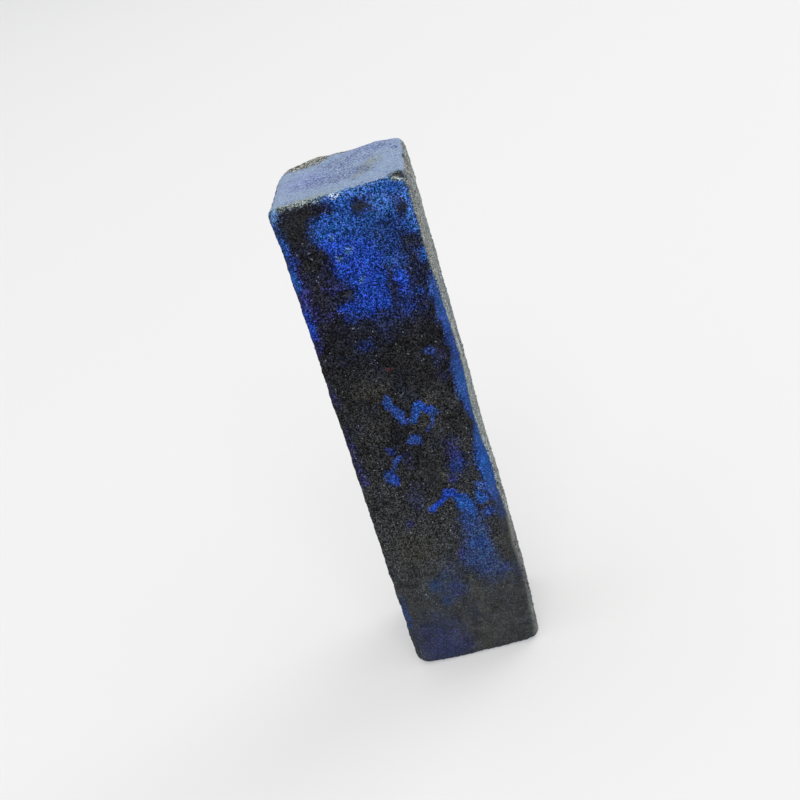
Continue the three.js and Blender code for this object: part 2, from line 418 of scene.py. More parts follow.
# %% Colours of the mineral
# The curve of the display standard: a straight line near black, and a power above it.
STRAIGHT_BELOW, STRAIGHT_SLOPE = 0.04045, 12.92
CURVE_SHIFT, CURVE_SCALE, CURVE_POWER = 0.055, 1.055, 2.4


def linear(red, green, blue):
    """A display colour from 0 to 255 as linear light: shown / slope, or ((shown + shift) / scale)^power."""
    shown = np.array([red, green, blue]) / 255
    curve = ((shown + CURVE_SHIFT) / CURVE_SCALE) ** CURVE_POWER
    return np.where(shown <= STRAIGHT_BELOW, shown / STRAIGHT_SLOPE, curve)


BLUES = {
    "royal": linear(28, 58, 149), "cobalt": linear(32, 66, 168), "azure": linear(36, 72, 141),
    "bright": linear(57, 90, 155), "navy": linear(30, 50, 112), "violet": linear(48, 45, 102),
    "steel": linear(42, 64, 126), "band": linear(48, 74, 136), "dusk": linear(50, 62, 101),
    "teal": linear(44, 54, 82), "deep": linear(33, 58, 116), "shade": linear(51, 52, 82),
    "mist": linear(100, 122, 140), "frosted": linear(88, 118, 166),
}
GROUNDS = {
    "black": linear(27, 27, 30), "haze_and_floor_reflection": linear(57, 58, 59), "olive": linear(58, 58, 51),
    "plum": linear(74, 30, 36), "soot": linear(35, 36, 34), "ink": linear(28, 31, 58),
    "earth": linear(66, 64, 57), "lavender_frost_and_sheen": linear(139, 156, 182),
    "violet grey": linear(136, 149, 187), "speck": linear(78, 87, 128), "frost": linear(144, 156, 152),
    "moss": linear(128, 138, 120), "pale crust": linear(138, 142, 142), "grit": linear(158, 160, 150),
    "cream": linear(177, 184, 181), "slate": linear(110, 112, 115),
    "olive crust": linear(114, 114, 100), "dark crust": linear(46, 47, 40), "rust": linear(112, 88, 60),
    "chip": linear(50, 54, 38), "lip blue": linear(104, 140, 178),
}
print(len(BLUES), "blues and", len(GROUNDS), "ground colours")

# %% [markdown]
# Each row below reads: which blue, how strong, where its middle is, and its half sizes in x and z. All
# of these lie just under the front face and reach a few millimetres into the stone.

# %% The royal column high on the front
FRONT_BLOBS = [
    ("navy", 0.7, (-0.2, 79.7), (4.1, 8.4)), ("deep", 0.7, (5.4, 81.3), (5.0, 6.0)),
    ("navy", 0.4, (4.2, 71.6), (5.6, 4.4)), ("azure", 0.9, (-4.7, 85.0), (2.1, 1.8)),
    ("azure", 0.9, (-1.7, 85.6), (2.6, 1.5)), ("azure", 0.8, (1.3, 84.4), (2.6, 2.4)),
    ("azure", 0.75, (-2.6, 83.5), (3.4, 1.6)), ("cobalt", 1.0, (-2.9, 81.9), (2.2, 1.9)),
    ("mist", 1.0, (-2.5, 82.7), (0.6, 0.6)), ("mist", 1.0, (-1.3, 80.7), (0.8, 0.8)),
    ("mist", 1.0, (-2.6, 79.3), (0.6, 0.6)), ("mist", 0.9, (-0.2, 75.0), (0.5, 0.6)),
    ("cobalt", 1.0, (-2.0, 77.5), (1.2, 1.0)), ("cobalt", 0.95, (0.3, 80.8), (2.4, 1.9)),
    ("royal", 1.0, (-1.9, 78.1), (2.3, 2.2)), ("cobalt", 0.95, (1.0, 78.4), (2.2, 2.2)),
    ("royal", 0.95, (3.0, 77.8), (1.6, 1.3)), ("royal", 1.0, (0.8, 75.8), (2.9, 2.3)),
    ("royal", 0.9, (0.0, 72.5), (1.5, 3.0)), ("royal", 0.75, (2.1, 73.2), (0.9, 3.6)),
    ("steel", 0.6, (6.8, 76.6), (1.2, 1.1)), ("royal", 0.85, (5.7, 73.8), (1.1, 1.2)),
    ("royal", 0.75, (6.3, 71.8), (1.0, 1.4)), ("azure", 0.4, (7.8, 70.4), (0.8, 0.6)),
    ("royal", 0.85, (-3.3, 70.6), (1.7, 0.8)), ("navy", 0.7, (-2.4, 69.2), (1.7, 0.8)),
    ("royal", 0.95, (0.3, 70.3), (1.8, 0.8)), ("royal", 0.7, (2.4, 70.0), (1.2, 1.1)),
    ("navy", 0.42, (5.3, 68.1), (1.1, 0.9)), ("navy", 0.55, (6.6, 78.6), (2.0, 1.5)),
    ("navy", 0.5, (5.0, 70.5), (1.2, 0.8)), ("violet", 0.65, (-5.0, 74.8), (1.4, 1.1)),
    ("violet", 0.3, (-7.0, 70.4), (1.2, 1.3)), ("navy", 0.45, (-3.0, 63.7), (1.3, 1.1)),
    ("violet", 0.14, (-7.0, 76.1), (2.2, 3.0)),
]
print("blobs in the royal column:", len(FRONT_BLOBS))

# %% The azure rim along the top lip, the right edge and the left edge
FRONT_BLOBS += [
    ("azure", 0.95, (0.0, 88.5), (1.7, 1.5)), ("bright", 1.0, (3.4, 89.8), (3.6, 1.2)),
    ("bright", 1.0, (4.8, 89.6), (6.2, 0.8)), ("azure", 1.0, (7.6, 89.5), (3.6, 1.5)),
    ("bright", 1.0, (6.4, 86.2), (2.5, 1.7)), ("azure", 0.6, (7.2, 84.9), (1.6, 1.4)),
    ("bright", 0.9, (10.6, 87.7), (1.1, 2.0)), ("bright", 0.85, (10.7, 83.7), (1.0, 3.0)),
    ("azure", 0.8, (9.9, 81.7), (1.2, 1.3)), ("azure", 0.7, (10.7, 76.3), (0.9, 1.3)),
    ("band", 0.9, (10.8, 70.4), (1.0, 2.8)), ("band", 0.85, (10.85, 65.8), (1.1, 3.5)),
    ("steel", 0.7, (11.1, 60.6), (0.9, 4.0)), ("band", 0.9, (11.1, 53.9), (1.2, 3.2)),
    ("band", 0.95, (11.0, 50.5), (1.3, 2.6)), ("steel", 0.75, (11.2, 47.1), (0.9, 3.0)),
    ("band", 0.95, (11.4, 42.5), (1.2, 3.4)), ("azure", 1.0, (10.9, 37.5), (1.6, 3.6)),
    ("band", 0.95, (10.8, 34.0), (1.1, 3.4)), ("dusk", 0.7, (11.3, 28.8), (0.9, 2.6)),
    ("frosted", 0.95, (-11.1, 89.4), (0.9, 1.7)), ("azure", 0.7, (-11.2, 86.5), (0.8, 1.8)),
    ("azure", 0.9, (-10.8, 84.3), (0.8, 1.9)), ("navy", 0.6, (-10.6, 80.7), (1.0, 2.2)),
    ("violet", 0.5, (-9.8, 74.2), (1.2, 6.0)), ("azure", 0.75, (-10.9, 77.5), (0.8, 2.2)),
    ("violet", 0.8, (-10.5, 73.6), (0.9, 2.4)), ("royal", 0.85, (-10.9, 70.0), (0.9, 3.0)),
    ("violet", 0.5, (-10.8, 65.8), (0.6, 2.6)), ("violet", 0.35, (-11.0, 56.7), (0.7, 2.6)),
    ("violet", 0.3, (-10.6, 45.5), (0.9, 3.8)), ("violet", 0.4, (-10.8, 39.9), (0.8, 2.2)),
]
print("blobs with the rim:", len(FRONT_BLOBS))

# %% Small marks lower down, the dusky column and the navy foot
FRONT_BLOBS += [
    ("steel", 0.55, (6.9, 59.7), (0.9, 0.9)), ("shade", 0.55, (8.1, 58.3), (1.0, 1.5)),
    ("violet", 0.3, (7.9, 54.8), (0.8, 1.0)), ("steel", 0.95, (0.2, 44.8), (1.3, 0.75)),
    ("steel", 0.7, (0.8, 44.0), (0.8, 0.6)), ("royal", 0.4, (-4.3, 44.0), (0.8, 0.6)),
    ("steel", 0.85, (-5.9, 38.9), (1.0, 1.4)), ("royal", 0.6, (-5.3, 38.7), (0.8, 1.0)),
    ("violet", 0.5, (6.0, 41.2), (1.2, 2.4)), ("navy", 0.52, (6.2, 38.2), (1.4, 1.8)),
    ("violet", 0.6, (4.6, 36.0), (1.1, 0.9)), ("royal", 0.95, (2.9, 33.3), (1.2, 0.9)),
    ("azure", 1.0, (5.1, 30.8), (1.5, 1.3)), ("steel", 0.75, (6.1, 29.0), (1.1, 1.1)),
    ("azure", 0.8, (8.5, 31.2), (1.0, 1.1)), ("band", 0.5, (8.6, 33.4), (0.9, 1.1)),
    ("steel", 0.6, (9.1, 27.9), (1.2, 1.0)), ("navy", 0.45, (4.8, 26.6), (1.2, 2.2)),
    ("violet", 0.3, (2.8, 21.6), (0.9, 2.0)), ("dusk", 0.6, (5.5, 25.0), (2.3, 3.9)),
    ("violet", 0.25, (-1.8, 41.3), (0.8, 1.5)), ("dusk", 0.45, (6.5, 26.4), (1.1, 2.4)),
    ("steel", 0.5, (5.2, 22.8), (1.4, 1.3)), ("steel", 0.5, (6.5, 22.2), (1.0, 1.8)),
    ("shade", 0.6, (4.6, 18.0), (0.9, 0.8)), ("dusk", 0.7, (5.4, 19.6), (2.6, 2.6)),
    ("dusk", 0.42, (6.4, 16.5), (2.1, 2.4)), ("shade", 0.3, (-0.8, 19.4), (2.0, 2.2)),
    ("dusk", 0.35, (9.0, 16.2), (1.6, 1.2)), ("teal", 0.5, (-2.1, 17.8), (0.9, 0.8)),
    ("teal", 0.55, (-4.1, 16.0), (1.2, 1.5)), ("shade", 0.7, (-0.4, 14.2), (1.1, 1.5)),
    ("teal", 0.6, (-2.5, 12.7), (0.9, 0.8)), ("deep", 0.4, (-10.8, 11.9), (0.7, 3.0)),
    ("teal", 0.3, (-1.8, 15.3), (3.4, 2.9)), ("violet", 0.45, (-4.6, 29.5), (0.6, 0.7)),
    ("shade", 0.4, (-2.6, 33.8), (1.4, 2.4)), ("shade", 0.5, (-6.0, 5.1), (4.4, 4.4)),
    ("shade", 0.45, (-4.6, 2.5), (3.6, 2.4)),
]
print("blobs on the whole front:", len(FRONT_BLOBS))

# %% [markdown]
# Some marks are long and thin, so they are veins: a blue, its strength, a path of points in x and z, and
# half the vein's width. Where the dark ground shows through a blue zone again, the stone is bare.

# %% Veins and bare patches
VEINS = [
    ("steel", 0.85, [(-2.4, 53.1), (-1.8, 51.9), (-1.1, 50.5)], 0.72),
    ("steel", 0.8, [(-1.4, 49.7), (-0.6, 48.5)], 0.58),
    ("azure", 0.95, [(0.8, 48.4), (1.4, 49.4), (2.6, 50.9)], 0.6),
    ("royal", 0.95, [(2.7, 51.0), (3.8, 50.0)], 0.52),
    ("steel", 0.75, [(3.9, 50.0), (4.8, 49.0), (4.4, 48.0)], 0.5),
    ("royal", 0.36, [(3.8, 47.2), (3.1, 46.7)], 0.42),
    ("steel", 0.7, [(-3.6, 42.3), (-4.3, 40.9), (-4.9, 39.8)], 0.52),
    ("royal", 0.85, [(-0.4, 31.4), (1.0, 32.1), (2.3, 33.0)], 0.44),
    ("royal", 0.7, [(3.8, 32.6), (4.6, 31.6)], 0.5),
]
BARE = [
    (1.0, (-7.8, 86.7), (2.9, 3.3)), (0.7, (-3.7, 88.0), (2.6, 0.9)), (0.75, (2.8, 86.7), (1.5, 1.0)),
    (0.5, (9.5, 84.6), (0.8, 1.6)), (0.7, (9.5, 79.3), (1.0, 1.5)), (0.8, (-5.0, 77.7), (1.2, 2.2)),
    (0.6, (9.4, 73.1), (1.2, 1.9)), (0.9, (-7.2, 79.9), (2.2, 4.4)), (0.85, (-3.7, 73.3), (2.0, 0.8)),
    (0.7, (4.3, 72.6), (0.8, 3.4)), (0.4, (8.4, 76.5), (0.9, 3.6)), (0.5, (6.6, 71.5), (1.6, 0.8)),
]
print(len(VEINS), "veins and", len(BARE), "bare patches")

# %% [markdown]
# The other sides are clouded in the same colours, but no one has to find a given mark there. So their
# zones come from lumpy noise: where it stands above a level there is blue, and the rarer, higher levels
# are the purest. The noise is stretched upwards, as the zones of the front are.

# %% Blue on the hidden sides
CLOUD_SIZE, CLOUD_STRETCH = 9.0, np.array([1.0, 1.0, 0.6])
CLOUD_LEVELS, PUREST_LEVELS = (0.06, 0.34), (0.15, 0.4)
CLOUDS_BEHIND = 2.0
# Each kind of patch: its size, its layers, its seed and its two levels.
ROYAL_PATCHES = (6.0, 3, 301.0, (-0.25, 0.25))
AZURE_PATCHES = (7.0, 3, 353.0, (0.0, 0.3))


def patches(points, size, layers, seed, levels):
    """Soft patches from 0 to 1: how far the lumps on lumps have risen from the lower level to the upper."""
    return smoothstep(fractal(points, size, layers, seed=seed), *levels)


def clouds(points):
    """Share and hue of the blue away from the front: a level of one noise, and a mix by two others."""
    height = fractal(points * CLOUD_STRETCH, CLOUD_SIZE, 5, seed=207.0)
    share = smoothstep(height, *CLOUD_LEVELS)
    share *= smoothstep(points[:, 1], FRONT + CLOUDS_BEHIND, FRONT + 2 * CLOUDS_BEHIND)
    hue = np.tile(BLUES["navy"], (len(points), 1))
    royal = patches(points, *ROYAL_PATCHES) * smoothstep(height, *PUREST_LEVELS)
    azure = patches(points, *AZURE_PATCHES)
    hue += (BLUES["royal"] - hue) * royal[:, None]
    hue += (BLUES["azure"] - hue) * azure[:, None]
    return share, hue


print("the clouds set in", CLOUDS_BEHIND, "to", 2 * CLOUDS_BEHIND, "mm behind the front")

# %% [markdown]
# A drawn ellipsoid would look drawn. So the place where it is asked for is pushed about by lumps first,
# which makes every outline waver, and its rim is soft, so that blue grains thin out into the ground. The
# dull blues are hazier than the pure ones. Where zones overlap, the stronger one decides the hue.

# %% Blobs and veins
BLOB_REACH_IN, VEIN_REACH_FROM = 3.0, 1.0
BLOB_SOFTNESS, VEIN_SOFTNESS, BARE_SOFTNESS = 0.6, 0.5, 0.8
WAVER_SIZE, WAVER = 2.2, 0.7
RIPPLE_SIZE, RIPPLE = 0.8, 0.35


def wavered(points):
    """The points pushed about by slow and fine lumps, so that every outline drawn on them wavers."""
    slow = np.stack([fractal(points, WAVER_SIZE, 2, seed=s) for s in (3.0, 41.0, 77.0)], axis=1)
    fine = np.stack([lump(points + s, RIPPLE_SIZE) for s in (13.0, 51.0, 87.0)], axis=1)
    return points + WAVER * slow + RIPPLE * fine


def blob(points, centre, half, softness=BLOB_SOFTNESS):
    """1 inside an ellipsoid and 0 outside, with a soft rim: a fade of |(point - centre) / half|."""
    distance = np.linalg.norm((points - centre) / half, axis=1)
    return fade(distance, 1 - softness, 1 + softness)


def vein(points, path, half_width):
    """1 along a path on the front face and 0 beyond its half width: the least distance to its stretches."""
    flat, nearest = points[:, [0, 2]], np.full(len(points), np.inf)
    for start, end in zip(np.array(path[:-1]), np.array(path[1:])):
        along = np.clip((flat - start) @ (end - start) / ((end - start) @ (end - start)), 0, 1)
        nearest = np.minimum(nearest, np.linalg.norm(flat - start - along[:, None] * (end - start), axis=1))
    on_front = fade(points[:, 1], FRONT + VEIN_REACH_FROM, FRONT + BLOB_REACH_IN)
    return on_front * fade(nearest / half_width, 1 - VEIN_SOFTNESS, 1 + VEIN_SOFTNESS)


soft_place = wavered(block)
print("outlines waver by up to", np.abs(soft_place - block).max().round(2), "mm")

# %% [markdown]
# The zones are put together as chances are, because a grain is either blue or not: where two zones of a
# half overlap, three quarters of the grains are blue. Patches of faint blue dust come on top, the bare
# patches take blue away again, and the clouds of the hidden sides are added last.

# %% All the blue together
HAZY_BLUES, HAZY_SOFTNESS = ("dusk", "shade", "teal", "navy", "violet", "deep"), 0.9
DUST_PATCHES, DUST = (3.2, 3, 143.0, (0, 0.6)), 0.08
TRACE = 1e-6


def blue_zones(points):
    """Zones add up as chances do, 1 - (1 - a)(1 - b)..., and the hue is their mean by strength cubed."""
    zones = []
    for hue, strength, (x, z), (a, c) in FRONT_BLOBS:
        softness = HAZY_SOFTNESS if hue in HAZY_BLUES else BLOB_SOFTNESS
        zones.append((hue, strength * blob(points, (x, FRONT, z), (a, BLOB_REACH_IN, c), softness)))
    zones += [(hue, strength * vein(points, path, width)) for hue, strength, path, width in VEINS]
    clear, weight = np.ones(len(points)), np.full(len(points), TRACE)
    colour = np.tile(TRACE * BLUES["navy"], (len(points), 1))
    for hue, zone in zones:
        clear *= 1 - zone
        weight += zone ** 3
        colour += (zone ** 3)[:, None] * BLUES[hue]
    share = 1 - clear * (1 - DUST * patches(points, *DUST_PATCHES))
    for strength, (x, z), (a, c) in BARE:
        share *= 1 - strength * blob(points, (x, FRONT, z), (a, BLOB_REACH_IN, c), BARE_SOFTNESS)
    colour /= weight[:, None]
    behind, behind_hue = clouds(points)
    return share + (1 - share) * behind, colour + (behind_hue - colour) * (behind * (1 - share))[:, None]


blue_share, blue_colour = blue_zones(soft_place)
print("points in blue zones:", int((blue_share > 0.3).sum()), "of", len(blue_share))

# %% [markdown]
# ## What lies between the blue grains
# The ground of the stone is not one colour either. On the front and the left it is near black, with
# olive, earthy, sooty and plum stains, and greyer towards the foot, where it holds a painted reflection
# of the pale floor. Painting it would fix one view only, so it is built up like glazes on a pot: each layer
# moves the colour of every point some way towards its own.

# %% Layers of ground colour
STAIN_SOFTNESS = 0.5
UNEVEN_SIZE, PATCHY_SIZE = 3.4, 1.3
across, inwards, up = block.T


def covered(name):
    """One ground colour laid on every point."""
    return np.tile(GROUNDS[name], (len(block), 1))


def towards(colour, other, share):
    """Moves each point's colour towards another colour by its own share."""
    return colour + (other - colour) * share[:, None]


def stained(colour, points, stains, name):
    """Lays soft ellipsoids of one ground colour over what is there."""
    for centre, half, strength in stains:
        colour = towards(colour, GROUNDS[name], strength * blob(points, centre, half, STAIN_SOFTNESS))
    return colour


def strongest(points, spots, softness=STAIN_SOFTNESS):
    """The greatest of several soft ellipsoids at each point, each times its own strength."""
    each = [strength * blob(points, centre, half, softness) for centre, half, strength in spots]
    return np.max(each, axis=0)


uneven = fractal(block, UNEVEN_SIZE, 3, seed=23.0)
patchy = fractal(block, PATCHY_SIZE, 2, seed=61.0)
ragged = dice.uniform(-1, 1, len(block))
print("uneven from", uneven.min().round(2), "to", uneven.max().round(2))

# %% [markdown]
# The layers go on in this order: a grey haze over the black, which grows towards the foot as a painted
# reflection of the floor, olive and earthy stains, painted light and shade of small bumps every couple of
# millimetres, inky patches high up, and last the few stains that have a place of their own. What comes
# later covers what came before, so the order matters as much as the colours.

# %% Ground of the front and left
# How grey the haze is everywhere, how much more it is near the foot as a painted reflection of the pale
# floor, where that ends, and how uneven it is.
HAZE_LEAST, PAINTED_FLOOR_REFLECTION_LOW_DOWN, HAZE_ENDS, HAZE_UNEVEN = 0.05, 0.9, 66, 0.25
OLIVE_PATCHES, OLIVE_SHARE = (6.0, 3, 15.0, (0.1, 0.7)), 0.25
EARTH_PATCHES, EARTH_SHARE, EARTH_ENDS = (4.2, 3, 163.0, (0, 0.55)), 0.3, (50, 66)
# Painted light and shade: the ground turns lighter and darker by turns, as small lit and shaded bumps would,
# in noise that is not tied to the mesh's own bumps.
PAINTED_BUMP_SIZE, PAINTED_BUMP_LIGHT_AND_SHADE = 1.8, 0.45
INK_PATCHES, INK_SHARE, INK_STARTS, INK_WANDER = (2.4, 3, 119.0, (-0.3, 0.5)), 0.65, (60, 72), 6
# Each stain: its middle, its half sizes, its strength.
OLIVE_STAINS = [
    ((-5.5, FRONT, 24.4), (4.0, 3.0, 3.2), 0.4), ((-1.3, FRONT, 80.7), (0.8, 2.0, 0.9), 0.9),
    ((-2.5, FRONT, 79.4), (0.6, 2.0, 0.6), 0.9), ((-0.2, FRONT, 75.0), (0.5, 2.0, 0.5), 0.9),
    ((3.3, FRONT, 36.9), (0.9, 2.0, 0.9), 0.9), ((-5.0, FRONT, 56.3), (4.0, 2.0, 3.4), 0.2),
]
PLUM_STAINS = [
    ((-0.3, FRONT, 58.6), (0.36, 2.0, 0.3), 0.8), ((5.4, FRONT, 72.1), (0.7, 2.0, 0.5), 0.2),
]
SOOT_STAINS = [
    ((2.9, FRONT, 86.1), (1.6, 2.0, 1.2), 0.9), ((9.8, FRONT, 85.1), (0.6, 2.0, 1.1), 0.8),
    ((-8.0, FRONT, 86.6), (2.6, 3.0, 3.2), 0.6), ((1.4, FRONT, 37.9), (1.8, 2.0, 3.0), 0.6),
]

# Painted reflection: the grey haze grows towards the foot and stands for the pale floor mirrored in the
# front.
haze_and_floor_reflection = HAZE_LEAST + PAINTED_FLOOR_REFLECTION_LOW_DOWN * fade(up, 0, HAZE_ENDS) + HAZE_UNEVEN * uneven
ground = towards(covered("black"), GROUNDS["haze_and_floor_reflection"], np.clip(haze_and_floor_reflection, 0, 1))
ground = towards(ground, GROUNDS["olive"], OLIVE_SHARE * patches(block, *OLIVE_PATCHES))
earthy = patches(block, *EARTH_PATCHES) * fade(up, *EARTH_ENDS)
ground = towards(ground, GROUNDS["earth"], EARTH_SHARE * earthy)
# Painted light and shade of small bumps: the brightness goes up and down with noise.
ground *= 1 + PAINTED_BUMP_LIGHT_AND_SHADE * fractal(block, PAINTED_BUMP_SIZE, 3, seed=171.0)[:, None]
inky = smoothstep(up + INK_WANDER * uneven, *INK_STARTS) * patches(block, *INK_PATCHES)
ground = towards(ground, GROUNDS["ink"], INK_SHARE * inky)
ground = stained(ground, soft_place, OLIVE_STAINS, "olive")
ground = stained(ground, soft_place, SOOT_STAINS, "soot")
ground = stained(ground, soft_place, PLUM_STAINS, "plum")
sooty = strongest(soft_place, SOOT_STAINS)
print("mean haze", haze_and_floor_reflection.mean().round(2), " sooty points:", int((sooty > 0.3).sum()))

# %% [markdown]
# ## The crusts
# The right side is a thin crust, pale high up and slate near the foot, with fine dark streaks. Its pale
# grey is partly a painted reflection: the pale room that a rough face gives back when seen edge on. The
# back is the natural skin of the rough, olive and brown. A side begins where the stone turns to face that
# way, so the direction that each point faces decides, roughened a little so that no straight line shows.
# A crust is two minerals too: dark grains take the place of blue ones, and more of them in the hollows,
# as painted shade.

# %% Where each crust lies
SLATE_BELOW, PALE_ABOVE, PALE_WANDER = 20.0, 36.0, 3
RIGHT_STARTS, RIGHT_STARTS_AT_TOP, RIGHT_STARTS_LESS_LOW, TURNED_UP = 0.55, 0.3, 0.35, (0, 0.4)
RIGHT_RIM, RIGHT_RIM_WIDER_LOW = 0.3, 0.45
RIGHT_UNEVEN, BACK_UNEVEN, CRUST_RAGGED = 0.08, 0.12, 0.05
BACK_STARTS = (0.3, 0.65)

high_up = smoothstep(up + PALE_WANDER * uneven, SLATE_BELOW, PALE_ABOVE)
starts = RIGHT_STARTS + (RIGHT_STARTS_AT_TOP - RIGHT_STARTS) * smoothstep(facing[:, 2], *TURNED_UP)
starts -= RIGHT_STARTS_LESS_LOW * (1 - high_up)
right_facing = facing[:, 0] + RIGHT_UNEVEN * uneven + CRUST_RAGGED * ragged - starts
on_right = smoothstep(right_facing, 0, RIGHT_RIM + RIGHT_RIM_WIDER_LOW * (1 - high_up))
on_back = smoothstep(facing[:, 1] + BACK_UNEVEN * uneven + CRUST_RAGGED * ragged, *BACK_STARTS)
crusted = np.maximum(on_right, on_back)
print("crusted points:", int((crusted > 0.5).sum()))

# %% [markdown]
# The right crust turns creamy along its front edge at mid height, and olive between its streaks. The
# back's is olive, with pale patches and rusty ones. Dark grains gather on the streaks, at the foot of each
# riser of the back and in hollows, where they are painted shade, so the colours follow the relief.

# %% Crust colours and their dark grains
CREAM_REACH, CREAM_ENDS = (0.4, 2.6), (56, 74)
STREAK_COLOUR_SIZE, OLIVE_LEAST, OLIVE_OFF_STREAKS = 0.9, 0.25, 0.7
PALE_LEVELS = (-0.1, 0.9)
RUST_PATCHES, RUST_SHARE = (5.0, 2, 9.0, (0.25, 0.75)), 0.45
CAVITY_DEPTH, CAVITY_SHADE = 0.16, 0.3
DARK = {"least": 0.18, "patchy": 0.14, "painted_cavity_shade": 0.2, "streak": 0.8, "riser": 0.5, "most": 0.85}

streaky = fractal(block * STREAK_STRETCH, STREAK_COLOUR_SIZE, 2, seed=71.0)
# Painted reflection: the right side's pale grey stands partly for the pale room that a rough face gives back
# at a grazing angle.
right_crust_and_sheen = towards(covered("slate"), GROUNDS["pale crust"], high_up)
cream = high_up * fade(inwards, FRONT + CREAM_REACH[0], FRONT + CREAM_REACH[1]) * fade(up, *CREAM_ENDS)
right_crust_and_sheen = towards(right_crust_and_sheen, GROUNDS["cream"], cream)
off_streaks = np.clip(OLIVE_LEAST - OLIVE_OFF_STREAKS * streaky, 0, 1)
right_crust_and_sheen = towards(right_crust_and_sheen, GROUNDS["olive crust"], off_streaks)
pale = smoothstep(patchy + uneven, *PALE_LEVELS)
back_crust = towards(covered("olive crust"), GROUNDS["pale crust"], pale)
back_crust = towards(back_crust, GROUNDS["rust"], RUST_SHARE * patches(block, *RUST_PATCHES))
ground = towards(ground, right_crust_and_sheen, on_right)
ground = towards(ground, back_crust, on_back)
# Painted shade and light: hollows of the fine relief get more dark grains and a darker ground, and rises get
# a lighter one.
painted_cavity_shade = np.clip(-relief / CAVITY_DEPTH, -1, 1)
dark_grains = (DARK["least"] + DARK["patchy"] * patchy + DARK["painted_cavity_shade"] * painted_cavity_shade
               + DARK["streak"] * streaky * on_right + DARK["riser"] * on_back * riser_foot)
dark_grains = crusted * np.clip(dark_grains, 0, DARK["most"])
print("mean share of dark grains in the crusts", dark_grains[crusted > 0.5].mean().round(3))

# %% [markdown]
# ## The sawn ends
# The sawn top is frosted by the saw, and its pale lavender is partly a painted sheen: the bright room
# that a frosted face gives back at a low angle. It has fine violet specks, a mossy streak and a dark gritty
# rim at the back left. Its front lip is frosted too, bluer to the right. The foot was sawn as well, but
# stands on the table and is left plain. They are laid over the ground as the stains are.

# %% Frost of the top
TOP_SPECKS = [
    ((0.0, 0.0, TOP), (14.0, 14.0, 4.0), 0.12), ((-1.0, -2.0, TOP), (6.5, 4.5, 4.0), 0.4),
    ((1.0, 4.5, TOP), (6.0, 4.0, 4.0), 0.36), ((5.5, 8.5, TOP), (5.0, 3.0, 4.0), 0.34),
    ((-7.0, -9.6, TOP), (3.5, 1.2, 4.0), 0.3), ((4.2, -1.6, TOP), (1.2, 3.0, 4.0), 0.5),
    ((9.9, 5.4, TOP), (0.7, 0.7, 4.0), 0.6),
]
MOSS = [
    ((3.0, -5.4, TOP), (1.0, 1.6, 3.0), 0.35), ((4.2, -2.2, TOP), (1.1, 2.3, 3.0), 0.6),
    ((5.4, 1.2, TOP), (0.9, 2.2, 3.0), 0.5), ((6.8, 1.8, TOP), (0.9, 1.6, 3.0), 0.3),
]
VIOLET_CLOUDS = [((-6.0, 0.0, TOP), (4.0, 4.0, 3.0), 0.9), ((5.0, 9.0, TOP), (5.0, 3.0, 3.0), 0.4)]
LIP_FROST = [((-5.5, -11.6, TOP), (5.6, 1.8, 2.0), 0.8)]
GRITTY_RIM = [
    ((-6.6, 10.9, TOP + 0.6), (5.0, 3.6, 2.6), 1.0), ((-1.6, 12.0, TOP + 0.8), (3.4, 2.2, 2.0), 1.0),
]
GRITTY_SOFTNESS = 0.3
TOP_STARTS, TOP_SIDEWAYS, TOP_RAGGED = (0.93, 0.975), 0.35, 0.03
LIP_TURNS_UP, LIP_TURNS_FRONT, LIP_RAGGED, LIP_SHARE = (0.35, 0.9), (0, 0.3), 0.25, 0.65
LIP_TURNS_BLUE = (-5.5, -1)
FOOT_STARTS, FOOT_DARKER = (0.6, 0.85), 0.5

upwards = facing[:, 2] + TOP_SIDEWAYS * np.abs(facing[:, 0])
on_top = smoothstep(upwards + TOP_RAGGED * patchy + TOP_RAGGED * ragged, *TOP_STARTS)
# Painted sheen: the top's pale lavender is partly the bright room mirrored by the frosted face at a low
# angle, and partly the saw's frost.
frost = stained(covered("lavender_frost_and_sheen"), soft_place, VIOLET_CLOUDS, "violet grey")
frost = stained(frost, soft_place, MOSS, "moss")
frost = stained(frost, soft_place, LIP_FROST, "frost")
gritty = strongest(soft_place, GRITTY_RIM, GRITTY_SOFTNESS)
on_top *= 1 - gritty
ground = towards(ground, frost, on_top)
ground = towards(ground, GROUNDS["grit"], gritty)
lip = smoothstep(facing[:, 2] + LIP_RAGGED * ragged, *LIP_TURNS_UP)
lip = lip * smoothstep(-facing[:, 1], *LIP_TURNS_FRONT) * (1 - on_top)
lip_frost = towards(covered("frost"), GROUNDS["lip blue"], smoothstep(across, *LIP_TURNS_BLUE))
ground = towards(ground, lip_frost, LIP_SHARE * lip)
on_foot = smoothstep(-facing[:, 2], *FOOT_STARTS)
ground = towards(ground, GROUNDS["violet grey"] * FOOT_DARKER, on_foot)
specks = strongest(soft_place, TOP_SPECKS)
print("frosted points:", int((on_top > 0.5).sum()))

# %% [markdown]
# Where a chip has broken away, the stone is darkened towards olive black. At the front right corner of
# the top, the chip's back wall is painted dark as shade, and a pale cream rim in front of it is painted
# light on its floor. The depth that each point slid says where a chip is, so no outline of it has to be
# drawn a second time. Only that one corner has named spots, because it is seen closest.

# %% The chips show the stone's inside
# Painted shade on the back wall of the chip at the front right top corner, and painted light on the chip's
# floor in front of it.
CHIP_PAINTED_SHADE = [((10.1, -10.4, 90.0), (1.6, 2.0, 1.3), 0.9)]
CHIP_PAINTED_LIGHT = [((10.3, -11.9, 89.7), (1.2, 1.1, 0.6), 0.9)]
CHIP_SOFTNESS = 0.4
BROKEN_DEPTHS, BROKEN_LESS_AT_BACK, BROKEN_SHARE = (0.03, 0.25), 0.6, 0.9

